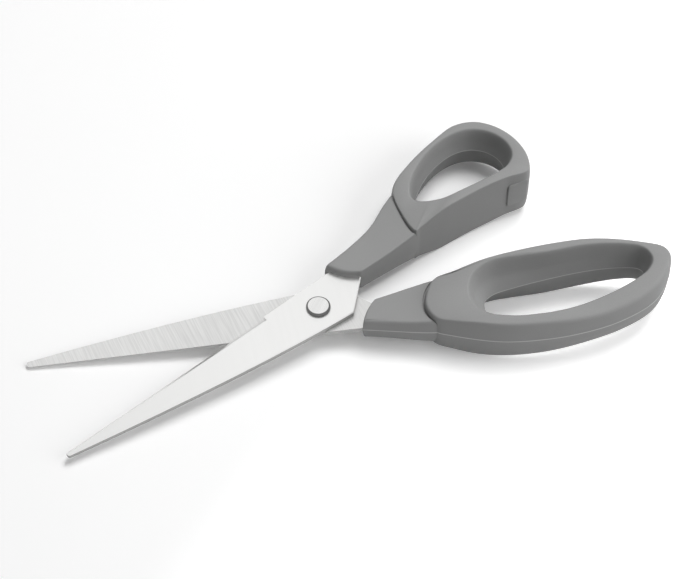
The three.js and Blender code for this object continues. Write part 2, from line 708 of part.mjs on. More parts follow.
const scissors = new THREE.Group();
scissors.position.z = -TAIL_FACE;
scissors.add(
  fingerHalf,
  thumbHalf,
  piece('pivot_rivet', rivetSolid(), RIVET_STEEL),
  piece('rivet_washer', washerSolid(), RIVET_STEEL),
);

export default scissors;
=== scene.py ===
"""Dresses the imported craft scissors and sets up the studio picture.

Sizes of the pieces and finishes are in millimetres in each half's own frame. Those of the studio are in
metres, as the shared frame of the part is.
"""
import logging
import math
from collections.abc import Sequence
from dataclasses import dataclass, field
from enum import Enum

import bmesh
import bpy
import numpy as np
from mathutils import Matrix, Vector


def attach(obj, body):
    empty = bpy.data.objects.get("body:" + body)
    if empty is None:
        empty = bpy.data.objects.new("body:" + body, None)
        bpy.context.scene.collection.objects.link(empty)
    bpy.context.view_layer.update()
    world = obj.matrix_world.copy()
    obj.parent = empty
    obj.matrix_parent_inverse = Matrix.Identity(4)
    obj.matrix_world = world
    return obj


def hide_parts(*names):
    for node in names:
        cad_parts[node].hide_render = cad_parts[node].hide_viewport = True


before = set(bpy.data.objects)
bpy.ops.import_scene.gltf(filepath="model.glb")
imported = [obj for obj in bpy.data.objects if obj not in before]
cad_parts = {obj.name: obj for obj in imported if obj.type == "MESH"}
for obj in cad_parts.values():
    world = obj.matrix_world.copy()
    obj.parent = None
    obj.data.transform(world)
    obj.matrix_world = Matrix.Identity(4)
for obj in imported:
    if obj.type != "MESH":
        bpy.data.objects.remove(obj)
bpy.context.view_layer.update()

LOG = logging.getLogger("scissors")

MM = 0.001
PIVOT_HEIGHT = 3.15
BLADE_THICKNESS = 1.8
REST_OPENING_DEG = 23.2
SOFT_DETAIL = 2.0
CRISP_DETAIL = 3.0
STREAK_SPAN = (0.34, 0.66)
WHOLE = (0.0, 1.0)

Pair = tuple[float, float]
Triple = tuple[float, float, float]
Colour = tuple[float, float, float, float]
Piece = bpy.types.Object
Material = bpy.types.Material
Tree = bpy.types.NodeTree
Socket = bpy.types.NodeSocket
Feed = Socket | float | Triple | Colour
Feeds = dict[str | int, Feed]
Sockets = dict[str, Socket]
Faces = list[tuple[int, ...]]


class Half(Enum):
    """The two halves of the scissors, named for the loop that each one carries."""

    THUMB = "thumb"
    FINGER = "finger"

    @property
    def body(self) -> str:
        """Name of the moving body that carries this half."""
        return f"{self.value}_half"

    def node(self, piece: str) -> str:
        """Name of one of this half's solids."""
        return f"{self.value}_{piece}"

    def place(self, points: np.ndarray) -> np.ndarray:
        """Moves points from the half's own frame to the part's frame.

        Args:
            points: Rows of x, y and z in millimetres.

        Returns:
            The same rows in metres, where the half lies at rest.
        """
        if self is Half.FINGER:
            placed = points * np.array([1.0, -1.0, -1.0])
        else:
            turn = math.radians(REST_OPENING_DEG)
            c, s = math.cos(turn), math.sin(turn)
            x, y = points[:, 0], points[:, 1]
            placed = np.stack([c * x - s * y, s * x + c * y, points[:, 2]], axis=1)
        return (placed + np.array([0.0, 0.0, PIVOT_HEIGHT])) * MM


class Face(Enum):
    """The faces of a blade that are finished in different ways, in the order of their materials."""

    OUTER = 0
    INNER = 1
    BEVEL = 2
    WALL = 3


# Curves and meshes.

def root_gap(first: np.ndarray, second: np.ndarray) -> np.ndarray:
    """Gives the square roots of the distances between rows of points, as a column."""
    return np.sqrt(np.linalg.norm(second - first, axis=1))[:, None]


def closed_curve(controls: np.ndarray, steps: int) -> np.ndarray:
    """Runs a smooth closed curve through control points.

    Args:
        controls: Rows of x and y, counterclockwise.
        steps: Points for each control.

    Returns:
        Rows of x and y along the curve.
    """
    before, after, second = np.roll(controls, 1, 0), np.roll(controls, -1, 0), np.roll(controls, -2, 0)
    d0, d1, d2 = root_gap(before, controls), root_gap(controls, after), root_gap(after, second)
    leave = (controls - before) / d0 - (after - before) / (d0 + d1) + (after - controls) / d1
    arrive = (after - controls) / d1 - (second - controls) / (d1 + d2) + (second - after) / d2
    leave, arrive = leave * d1, arrive * d1
    square = 3 * (after - controls) - 2 * leave - arrive
    cube = 2 * (controls - after) + leave + arrive
    t = (np.arange(steps) / steps)[None, :, None]
    curve = controls[:, None] + t * (leave[:, None] + t * (square[:, None] + t * cube[:, None]))
    return curve.reshape(-1, 2)


def rail(knots: Sequence[Pair], share: np.ndarray) -> np.ndarray:
    """Gives points along a smooth open curve through knots.

    Args:
        knots: Points to pass through.
        share: How far along each point is, from 0 to 1, where all spans count the same.

    Returns:
        The points, with x and y on a new last axis.
    """
    p = np.array(knots, float)
    p = np.vstack([p[:1], p, p[-1:]])
    along = np.clip(share, 0, 1) * (len(knots) - 1)
    span = np.minimum(along.astype(int), len(knots) - 2)
    t = (along - span)[..., None]
    a, b, c, d = p[span], p[span + 1], p[span + 2], p[span + 3]
    leave, arrive = (c - a) / 2, (d - b) / 2
    return b + t * (leave + t * (3 * (c - b) - 2 * leave - arrive + t * (2 * (b - c) + leave + arrive)))


def inside(points: np.ndarray, outline: np.ndarray) -> np.ndarray:
    """Tells which points lie inside a closed outline.

    Args:
        points: Points with x and y on the last axis.
        outline: Rows of x and y.

    Returns:
        True for each point inside.
    """
    x, y = points[..., 0, None], points[..., 1, None]
    start, end = outline, np.roll(outline, -1, 0)
    spans = (start[:, 1] > y) != (end[:, 1] > y)
    rise = np.where(end[:, 1] == start[:, 1], 1.0, end[:, 1] - start[:, 1])
    crossing = start[:, 0] + (y - start[:, 1]) / rise * (end[:, 0] - start[:, 0])
    return np.sum(spans & (x < crossing), axis=-1) % 2 == 1


def outward(points: np.ndarray) -> np.ndarray:
    """Gives the outward normals of a closed outline, lengthened at its corners.

    Args:
        points: Rows of x and y, counterclockwise.

    Returns:
        Rows of x and y that move each side by one unit.
    """
    before = points - np.roll(points, 1, 0)
    after = np.roll(points, -1, 0) - points
    before /= np.linalg.norm(before, axis=1)[:, None]
    after /= np.linalg.norm(after, axis=1)[:, None]
    total = before + after
    normals = np.stack([total[:, 1], -total[:, 0]], axis=1)
    return normals / (1 + np.sum(before * after, axis=1))[:, None]


def inset(points: np.ndarray, amounts: np.ndarray | float) -> np.ndarray:
    """Moves each point of an outline inwards by its amount."""
    return points - outward(points) * np.broadcast_to(amounts, len(points))[:, None]


def shares(points: np.ndarray) -> tuple[np.ndarray, np.ndarray, np.ndarray, np.ndarray]:
    """Tells which way each point of an outline looks.

    Args:
        points: Rows of x and y, counterclockwise.

    Returns:
        How much of each normal points to the front, to the other half, outwards and to the rear.
    """
    normals = outward(points)
    unit = normals / np.linalg.norm(normals, axis=1)[:, None]
    low, high = np.minimum(0, unit) ** 2, np.maximum(0, unit) ** 2
    return low[:, 0], low[:, 1], high[:, 1], high[:, 0]


def smoothstep(values: np.ndarray, low: float, high: float) -> np.ndarray:
    """Eases from 0 at low to 1 at high."""
    t = np.clip((values - low) / (high - low), 0, 1)
    return t * t * (3 - 2 * t)


def edge_levels(power: float, count: int) -> list[Pair]:
    """Gives how far in and how high a rounded edge is at each level.

    Args:
        power: 2 for a round edge, more for a boxy one.
        count: Steps from the wall up to the top.

    Returns:
        Pairs of inward share and height share, both from 0 to 1.
    """
    angles = [math.pi / 2 * k / count for k in range(count + 1)]
    return [(1 - max(0.0, math.cos(a)) ** (2 / power), math.sin(a) ** (2 / power)) for a in angles]


def make_piece(name: str, verts: np.ndarray, faces: Faces) -> Piece:
    """Makes a smooth shaded mesh object.

    Args:
        name: The piece's name.
        verts: Rows of x, y and z in metres.
        faces: Corners of each face.

    Returns:
        The new object, in the scene.
    """
    mesh = bpy.data.meshes.new(name)
    mesh.from_pydata(verts.tolist(), [], faces)
    work = bmesh.new()
    work.from_mesh(mesh)
    bmesh.ops.recalc_face_normals(work, faces=work.faces)
    work.to_mesh(mesh)
    work.free()
    mesh.shade_smooth()
    piece = bpy.data.objects.new(name, mesh)
    bpy.context.scene.collection.objects.link(piece)
    return piece


def ring_faces(rings: int, count: int, closed: bool) -> Faces:
    """Joins rings of equal count with four-cornered faces.

    Args:
        rings: Number of rings.
        count: Points in each ring.
        closed: Whether the last ring joins the first.

    Returns:
        Corners of each face.
    """
    faces = []
    for r in range(rings if closed else rings - 1):
        n = (r + 1) % rings
        for i in range(count):
            j = (i + 1) % count
            faces.append((r * count + i, r * count + j, n * count + j, n * count + i))
    return faces


def cap_faces(count: int, start: int) -> Faces:
    """Closes the end of a loft whose sections mirror top and bottom.

    Args:
        count: Points in the section.
        start: Number of the section's first point.

    Returns:
        Corners of each face.
    """
    faces = []
    for k in range(count // 2):
        corners = (k, k + 1, count - k - 1, (count - k) % count)
        faces.append(tuple(start + c for c in dict.fromkeys(corners)))
    return faces


def mark_seam(piece: Piece, shown: np.ndarray) -> None:
    """Stores how much of the parting line shows at each point of a piece, for the painted highlight along
    it.
    """
    piece.data.attributes.new("seam", "FLOAT", "POINT").data.foreach_set("value", shown)


# Shader building.

class Graph:
    """A thin wrapper that adds nodes to a tree and links them."""

    def __init__(self, tree: Tree) -> None:
        """Starts with an empty tree."""
        self.tree = tree
        tree.nodes.clear()

    def feed(self, socket: Socket, value: Feed) -> None:
        """Sets a socket or links it.

        Args:
            socket: The socket that takes the value.
            value: A plain value, or the socket of another node.
        """
        if isinstance(value, Socket):
            self.tree.links.new(value, socket)
        else:
            socket.default_value = value

    def add(self, kind: str, inputs: Feeds | None = None, **settings: object) -> bpy.types.Node:
        """Adds a node.

        Args:
            kind: Blender's node type.
            inputs: Socket values, or sockets of other nodes to link from.
            settings: Properties of the node.

        Returns:
            The new node.
        """
        node = self.tree.nodes.new(kind)
        for key, value in settings.items():
            setattr(node, key, value)
        for key, value in (inputs or {}).items():
            self.feed(node.inputs[key], value)
        return node

    def place(self) -> Socket:
        """Gives places in the object's own frame."""
        return self.add("ShaderNodeTexCoord").outputs["Object"]

    def noise(self, place: Socket, scale: Feed, detail: float) -> Socket:
        """Gives soft noise from 0 to 1."""
        inputs = {"Vector": place, "Scale": scale, "Detail": detail}
        return self.add("ShaderNodeTexNoise", inputs).outputs["Fac"]

    def math(self, operation: str, first: Feed, second: Feed) -> Socket:
        """Works out one value from two."""
        return self.add("ShaderNodeMath", {0: first, 1: second}, operation=operation).outputs[0]

    def mean(self, first: Feed, second: Feed) -> Socket:
        """Gives the mean of two values."""
        return self.math("MULTIPLY", self.math("ADD", first, second), 0.5)

    def remap(self, value: Feed, to: Pair, span: Pair = WHOLE) -> Socket:
        """Spreads a value that runs over a span over another range."""
        inputs = {"Value": value, "From Min": span[0], "From Max": span[1], "To Min": to[0], "To Max": to[1]}
        return self.add("ShaderNodeMapRange", inputs).outputs["Result"]

    def blend(self, share: Feed, first: Feed, second: Feed) -> Socket:
        """Mixes two colours.

        Args:
            share: How much of the second colour shows, from 0 to 1.
            first: One colour.
            second: The other colour.

        Returns:
            The mixed colour.
        """
        node = self.add("ShaderNodeMix", data_type="RGBA")
        for key, value in (("Factor_Float", share), ("A_Color", first), ("B_Color", second)):
            self.feed(next(socket for socket in node.inputs if socket.identifier == key), value)
        return next(socket for socket in node.outputs if socket.identifier == "Result_Color")


def plain(value: float) -> Colour:
    """Gives a grey with no tint."""
    return value, value, value, 1.0


def grey(value: float) -> Colour:
    """Gives the grey of the plastics, with a trace of green."""
    return value, value * 1.004, value, 1.0


def steel(value: float) -> Colour:
    """Gives the grey of the steel, with a little less blue."""
    return value, value, value * 0.99, 1.0


def new_material(name: str) -> tuple[Material, Graph]:
    """Starts a material with an empty node tree.

    Args:
        name: The material's name.

    Returns:
        The material and its graph.
    """
    material = bpy.data.materials.new(name)
    material.use_nodes = True
    return material, Graph(material.node_tree)


def new_group(name: str, inputs: dict[str, float], outputs: Sequence[str]) -> tuple[Graph, Sockets, Sockets]:
    """Starts a shader node group of plain values.

    Args:
        name: The group's name.
        inputs: Names of its inputs with their usual values.
        outputs: Names of its outputs.

    Returns:
        The graph, its input sockets by name, and its output sockets by name.
    """
    tree = bpy.data.node_groups.new(name, "ShaderNodeTree")
    graph = Graph(tree)
    for label, value in inputs.items():
        socket = tree.interface.new_socket(label, in_out="INPUT", socket_type="NodeSocketFloat")
        socket.default_value = value
    for label in outputs:
        tree.interface.new_socket(label, in_out="OUTPUT", socket_type="NodeSocketFloat")
    source = graph.add("NodeGroupInput").outputs
    sink = graph.add("NodeGroupOutput").inputs
    return graph, {label: source[label] for label in inputs}, {label: sink[label] for label in outputs}


def moulded_grain() -> Tree:
    """Makes the fine spark-eroded grain of a moulding, with slow changes of tone.

    Returns:
        The node group.
    """
    usual = {"Grain": 2600.0, "Cloud": 60.0}
    graph, ins, outs = new_group("moulded_grain", usual, ("Height", "Cloud"))
    place = graph.place()
    graph.feed(outs["Height"], graph.noise(place, ins["Grain"], CRISP_DETAIL))
    graph.feed(outs["Cloud"], graph.noise(place, ins["Cloud"], SOFT_DETAIL))
    return graph.tree


def grind_lines() -> Tree:
    """Makes fine straight lines left by a grinding wheel, at an angle in the plane of the blades.

    Returns:
        The node group.
    """
    usual = {"Angle": 0.0, "Fine": 4200.0, "Fine Share": 0.5, "Coarse": 900.0, "Cloud": 45.0,
             "Stretch": 0.03, "Through": 0.05}
    graph, ins, outs = new_group("grind_lines", usual, ("Height", "Streak", "Cloud"))
    place = graph.place()
    turn = {"Vector": place, "Angle": ins["Angle"]}
    turned = graph.add("ShaderNodeVectorRotate", turn, rotation_type="Z_AXIS").outputs[0]
    stretch = {"X": 1.0, "Y": ins["Stretch"], "Z": ins["Through"]}
    shape = graph.add("ShaderNodeCombineXYZ", stretch).outputs[0]
    drawn = graph.add("ShaderNodeVectorMath", {0: turned, 1: shape}, operation="MULTIPLY").outputs[0]
    fine = graph.noise(drawn, ins["Fine"], SOFT_DETAIL)
    coarse = graph.noise(drawn, ins["Coarse"], CRISP_DETAIL)
    graph.feed(outs["Height"], graph.math("ADD", graph.math("MULTIPLY", fine, ins["Fine Share"]), coarse))
    graph.feed(outs["Streak"], graph.remap(coarse, WHOLE, STREAK_SPAN))
    graph.feed(outs["Cloud"], graph.noise(place, ins["Cloud"], SOFT_DETAIL))
    return graph.tree


@dataclass(frozen=True)
class PlasticFinish:
    """A grained grey moulding, with a painted highlight along its parting line."""

    name: str
    slot: str
    dark: float
    light: float
    smooth: float
    rough: float
    grain: float
    depth: float
    seam_highlight: float
    bump: float = 0.35
    shine: float = 0.35

    def make(self, grain: Tree) -> Material:
        """Builds the material.

        Args:
            grain: The moulded grain group.

        Returns:
            The new material.
        """
        material, graph = new_material(self.name)
        spark = graph.add("ShaderNodeGroup", {"Grain": self.grain}, node_tree=grain).outputs
        body = graph.blend(graph.mean(spark["Height"], spark["Cloud"]), grey(self.dark), grey(self.light))
        seam = graph.add("ShaderNodeAttribute", attribute_name="seam").outputs["Fac"]
        relief = {"Height": spark["Height"], "Strength": self.bump, "Distance": self.depth * MM}
        shader = graph.add("ShaderNodeBsdfPrincipled", {
            # Painted highlight: the parting line is lighter than the body where the seam mask shows.
            "Base Color": graph.blend(seam, body, grey(self.light + self.seam_highlight)),
            "Roughness": graph.remap(spark["Cloud"], (self.smooth, self.rough)),
            "Normal": graph.add("ShaderNodeBump", relief).outputs["Normal"],
            "Specular IOR Level": self.shine,
        })
        graph.add("ShaderNodeOutputMaterial", {"Surface": shader.outputs["BSDF"]})
        return material


@dataclass(frozen=True)
class SteelFinish:
    """Ground or polished steel with straight lines. It may darken towards the blade's tip, which is painted
    shade standing for a dimmer reflection there.
    """

    name: str
    slot: str
    dark: float
    light: float
    smooth: float
    rough: float
    depth: float
    angle_deg: float = 0.0
    coarse: float = 900.0
    bump: float = 0.3
    # tip is the tone of painted shade that the steel darkens to towards the blade's tip, over tip_run.
    tip: float | None = None
    tip_run: Pair = (30.0, 95.0)

    def make(self, lines: Tree) -> Material:
        """Builds the material.

        Args:
            lines: The grind lines group.

        Returns:
            The new material.
        """
        material, graph = new_material(self.name)
        values = {"Angle": math.radians(self.angle_deg), "Coarse": self.coarse}
        ground = graph.add("ShaderNodeGroup", values, node_tree=lines).outputs
        tone = graph.mean(ground["Streak"], ground["Cloud"])
        colour = graph.blend(tone, steel(self.dark), steel(self.light))
        # Painted shade: the colour darkens with distance from the pivot towards the tip tone.
        if self.tip is not None:
            reach = graph.add("ShaderNodeVectorMath", {0: graph.place()}, operation="LENGTH")
            run = (self.tip_run[0] * MM, self.tip_run[1] * MM)
            share = graph.remap(reach.outputs["Value"], WHOLE, run)
            colour = graph.blend(share, colour, steel(self.tip))
        relief = {"Height": ground["Height"], "Strength": self.bump, "Distance": self.depth * MM}
        shader = graph.add("ShaderNodeBsdfPrincipled", {
            "Base Color": colour,
            "Metallic": 1.0,
            "Roughness": graph.remap(ground["Streak"], (self.smooth, self.rough)),
            "Normal": graph.add("ShaderNodeBump", relief).outputs["Normal"],
        })
        graph.add("ShaderNodeOutputMaterial", {"Surface": shader.outputs["BSDF"]})
        return material


# Pieces.

@dataclass(frozen=True)
class Side:
    """Half the thickness along one side of a loop: it rises, stays level and falls."""

    front: float
    half: float
    rear: float
    land_start: float
    land_end: float
    fall_end: float

    def at(self, run: np.ndarray) -> np.ndarray:
        """Gives half the thickness along the side.

        Args:
            run: Distances behind the loop's front.

        Returns:
            Half the thickness at each one.
        """
        rise = smoothstep(run, 0.0, self.land_start)
        fall = smoothstep(run, self.land_end, self.fall_end)
        return self.front + (self.half - self.front) * rise - (self.half - self.rear) * fall


@dataclass
class Loop:
    """A soft loop moulded round the hard ring of one half.

    Its outer wall and its hole pass through points that are given as shares of their boxes.
    """

    half: Half
    front: float
    side: float
    length: float
    width: float
    ring_front: float
    ring_rear: float
    ring_facing: float
    ring_outer: float
    edge_front: float
    edge_facing: float
    edge_outer: Pair
    draft_front: float
    draft_facing: float
    draft_outer: float
    draft_run: float
    facing: Side
    outer: Side
    wall_seam: bool
    wall: Sequence[Pair]
    hole: Sequence[Pair]
    edge_rear: float = 1.5
    edge_power: float = 3.0
    lip: float = 1.0
    rim: float = 0.8
    hollow: float = 0.55
    seam_height: float = 0.1
    seam_half: float = 0.28
    steps: int = 10
    levels: int = 9

    def at(self, u: float, v: float) -> Pair:
        """Gives the point at shares of the loop's box."""
        return self.front + u * self.length, self.side + v * self.width

    def outlines(self) -> tuple[np.ndarray, np.ndarray]:
        """Draws the loop in the plane of the blades.

        Returns:
            The outer wall and the hole, each as rows of x and y.
        """
        hole_length = self.length - self.ring_front - self.ring_rear
        hole_width = self.width - self.ring_facing - self.ring_outer
        wall = np.array([self.at(u, v) for u, v in self.wall])
        hole = np.array([(self.front + self.ring_front + u * hole_length,
                          self.side + self.ring_facing + v * hole_width) for u, v in self.hole])
        return closed_curve(wall, self.steps), closed_curve(hole, self.steps)

    def tall(self, points: np.ndarray) -> np.ndarray:
        """Gives half the thickness of the loop.

        Args:
            points: Rows of x and y.

        Returns:
            Half the thickness at each point.
        """
        run = points[:, 0] - self.front
        across = np.clip((points[:, 1] - self.side) / self.width, 0, 1)
        return self.facing.at(run) * (1 - across) + self.outer.at(run) * across

    def edges(self, wall: np.ndarray) -> np.ndarray:
        """Gives how far the rounded edge reaches in.

        Args:
            wall: Rows of x and y of the outer wall.

        Returns:
            The reach at each point.
        """
        front, facing, outer, rear = shares(wall)
        along = (wall[:, 0] - self.front) / self.length
        edge_outer = self.edge_outer[0] + (self.edge_outer[1] - self.edge_outer[0]) * along
        ahead = self.edge_front * front + self.edge_facing * facing
        return ahead + edge_outer * outer + self.edge_rear * rear

    def drafts(self, hole: np.ndarray, room: np.ndarray) -> np.ndarray:
        """Gives how far the walls of the hole slope back.

        Args:
            hole: Rows of x and y.
            room: The most that a draft may be at each point.

        Returns:
            The draft at each point.
        """
        front, facing, outer, rear = shares(hole)
        start = self.front + self.ring_front
        behind = smoothstep(hole[:, 0], start, start + self.draft_run)
        draft_facing = self.draft_front + (self.draft_facing - self.draft_front) * behind
        draft = self.draft_front * front + draft_facing * facing + self.draft_outer * (outer + rear)
        return np.minimum(draft, room)

    def sections(self) -> list[tuple[np.ndarray, np.ndarray, float]]:
        """Lays out the section of the ring from the outer seam over the top to the inner seam.

        Returns:
            For each level, the outline, its heights and how much of the seam it shows.
        """
        wall, hole = self.outlines()
        edges = self.edges(wall)
        drafts = self.drafts(hole, np.linalg.norm(wall - hole, axis=1) - edges - self.rim - self.lip)
        top = self.tall(inset(wall, edges))
        rim = self.tall(inset(hole, -drafts - self.lip))
        low = np.zeros(len(wall))
        ridge = self.seam_height if self.wall_seam else 0.0
        levels = edge_levels(self.edge_power, self.levels)[1:]
        rows = [(wall, low, float(self.wall_seam)), (inset(wall, ridge), low + self.seam_half, 0.0)]
        for inward, height in levels:
            rows.append((inset(wall, ridge + (edges - ridge) * inward), top * height, 0.0))
        for inward, height in reversed(levels):
            slope = drafts * height ** self.hollow
            rows.append((inset(hole, -self.seam_height - slope - self.lip * inward), rim * height, 0.0))
        rows.append((inset(hole, -self.seam_height), low + self.seam_half, 0.0))
        rows.append((hole, low, 1.0))
        return rows

    def build(self) -> Piece:
        """Lofts the loop's mesh.

        Returns:
            The loop as an object.
        """
        upper = self.sections()
        lower = [(points, -heights, seam) for points, heights, seam in upper[-2:0:-1]]
        rings = upper + lower
        verts = np.vstack([np.column_stack([points, heights]) for points, heights, _ in rings])
        count = len(rings[0][0])
        faces = ring_faces(len(rings), count, True)
        piece = make_piece(f"{self.half.value}_loop", self.half.place(verts), faces)
        mark_seam(piece, np.repeat([shown for _, _, shown in rings], count))
        return piece

    def dress(self, piece: Piece, slot: str, material: Material) -> None:
        """Gives the loop its finish and its place on the half.

        Args:
            piece: The loop's object.
            slot: Not used.
            material: Its material.
        """
        piece.data.materials.append(material)
        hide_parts(self.half.node("grip"))
        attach(piece, self.half.body)


@dataclass
class Neck:
    """The hard neck round a blade's tang, which runs back to a groove at the loop."""

    loop: Loop
    facing: Sequence[Pair]
    outer: Sequence[Pair]
    half_front: float
    half_rear: float
    edge_facing: float
    nose: float
    bow: float
    wall_seam: bool
    edge_outer: float = 1.1
    edge_power: float = 3.0
    seam_share: float = 0.06
    sharp_deg: float = 50.0
    groove: float = 0.45
    groove_depth: float = 0.9
    groove_wall: float = 0.12
    groove_fade: int = 6
    tongue: float = 0.12
    across: int = 12
    stations: int = 24
    levels: int = 8
    search: int = 500

    def columns(self) -> list[tuple[float, float, float, float]]:
        """Lays out the upper half of the section from the facing side to the outer side.

        Returns:
            For each point, its share of the width, its distance from there, its height and its seam.
        """
        levels = [(0.0, 0.0), (0.0, self.seam_share), *edge_levels(self.edge_power, self.levels)[1:]]
        rows = [(0.0, self.edge_facing * inward, height, 0.0) for inward, height in levels]
        rows += [(k / self.across, 0.0, 1.0, 0.0) for k in range(1, self.across)]
        seams = [float(self.wall_seam)] + [0.0] * (len(levels) - 1)
        rows += [(1.0, -self.edge_outer * inward, height, seam)
                 for (inward, height), seam in zip(reversed(levels), reversed(seams))]
        return rows

    def point(self, share: np.ndarray, base: float, offset: float) -> np.ndarray:
        """Gives points in plan along one line of the neck.

        Args:
            share: How far back each point is, from 0 at the nose to 1 inside the loop.
            base: Share of the width that the line keeps to.
            offset: Distance from there across the neck.

        Returns:
            Rows of x and y.
        """
        start = rail(self.facing, share)
        across = rail(self.outer, share) - start
        width = np.linalg.norm(across, axis=1)
        across /= width[:, None]
        depth = base * width + offset
        swell = 4 * self.bow * (1 - share) ** 2 * (depth / width) * (1 - depth / width)
        ahead = np.stack([-across[:, 1], across[:, 0]], axis=1)
        return start + across * depth[:, None] + ahead * swell[:, None]

    def lines(self) -> list[np.ndarray]:
        """Runs each line of the upper half from the nose back to the loop and on into it.

        Returns:
            For each line, rows of x, y and z.
        """
        wall, _ = self.loop.outlines()
        tries = np.linspace(0, 1, self.search)
        length = np.sum(np.linalg.norm(np.diff(rail(self.facing, tries), axis=0), axis=1))
        nose = self.nose / length
        rounding = edge_levels(self.edge_power, self.levels)[1:]
        inwards = {0.0: 1.0, 1.0: -1.0}
        lines = []
        for base, offset, height, _ in self.columns():
            open_share = self.groove_wall + (1 - self.groove_wall) * height ** self.groove_fade
            reach = inset(wall, -self.groove * open_share)
            stop = tries[np.argmax(inside(self.point(tries, base, offset), reach))]
            along = np.linspace(nose, stop, self.stations)[1:]
            share = np.concatenate([[nose * inward for inward, _ in rounding], along])
            rise = np.concatenate([[up for _, up in rounding], np.ones(len(along))])
            half = self.half_front + (self.half_rear - self.half_front) * share ** 2
            outside = np.column_stack([self.point(share, base, offset), rise * half * height])
            behind = np.array([stop, stop + self.tongue])
            depth = self.groove_depth * open_share
            sunk = self.point(behind, base, offset + depth * inwards.get(base, 0.0))
            low = (half[-1] - depth) * height
            lines.append(np.vstack([outside, np.column_stack([sunk, [low, low]])]))
        return lines

    def build(self) -> Piece:
        """Lofts the neck's mesh.

        Returns:
            The neck as an object.
        """
        upper = self.lines()
        lower = [line * [1, 1, -1] for line in upper[-2:0:-1]]
        sections = np.stack(upper + lower, axis=1)
        rings, count = sections.shape[:2]
        faces = ring_faces(rings, count, False)
        faces += cap_faces(count, 0) + cap_faces(count, (rings - 1) * count)
        name = f"{self.loop.half.value}_neck"
        piece = make_piece(name, self.loop.half.place(sections.reshape(-1, 3)), faces)
        piece.data.set_sharp_from_angle(angle=math.radians(self.sharp_deg))
        shown = [seam for _, _, _, seam in self.columns()]
        mark_seam(piece, np.tile(shown + shown[-2:0:-1], rings))
        return piece

    def dress(self, piece: Piece, slot: str, material: Material) -> None:
        """Gives the neck its finish and its place on the half.

        Args:
            piece: The neck's object.
            slot: Not used.
            material: Its material.
        """
        piece.data.materials.append(material)
        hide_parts(self.loop.half.node("core"))
        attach(piece, self.loop.half.body)


@dataclass
class Blade:
    """A blade with its tang, finished in its own way on each face.

    The small steep facets at the heel of the cutting edge take the finish of the bevel.
    """

    half: Half
    flat: float = 0.98
    steep: float = 0.3
    heel_area: float = 1.5
    heel_reach: float = 40.0

    def build(self) -> Piece:
        """Copies the blade's solid and sorts its faces by finish.

        Returns:
            The blade as an object.
        """
        name = self.half.node("blade")
        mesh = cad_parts[name].data.copy()
        mesh.materials.clear()
        piece = bpy.data.objects.new(f"{name}_ground", mesh)
        bpy.context.scene.collection.objects.link(piece)
        up = 1.0 if self.half is Half.THUMB else -1.0
        for polygon in mesh.polygons:
            polygon.use_smooth = False
            polygon.material_index = self.sort(polygon, polygon.normal.z * up).value
        return piece

    def sort(self, facet: bpy.types.MeshPolygon, rise: float) -> Face:
        """Tells which face of the blade a facet belongs to.

        Args:
            facet: The facet, at its place in metres.
            rise: How far its normal points out of the blade's outer face, from -1 to 1.

        Returns:
            The face.
        """
        if abs(rise) > self.flat:
            return Face.OUTER if rise > 0 else Face.INNER
        small = facet.area < self.heel_area * MM ** 2
        heel = small and facet.center.length < self.heel_reach * MM
        return Face.BEVEL if heel or abs(rise) > self.steep else Face.WALL

    def dress(self, piece: Piece, slot: str, materials: dict[Face, Material]) -> None:
        """Gives the blade its finishes and its place on the half.

        Args:
            piece: The blade's object.
            slot: Not used.
            materials: The material of each face.
        """
        for face in Face:
            piece.data.materials.append(materials[face])
        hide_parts(self.half.node("blade"))
        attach(piece, self.half.body)


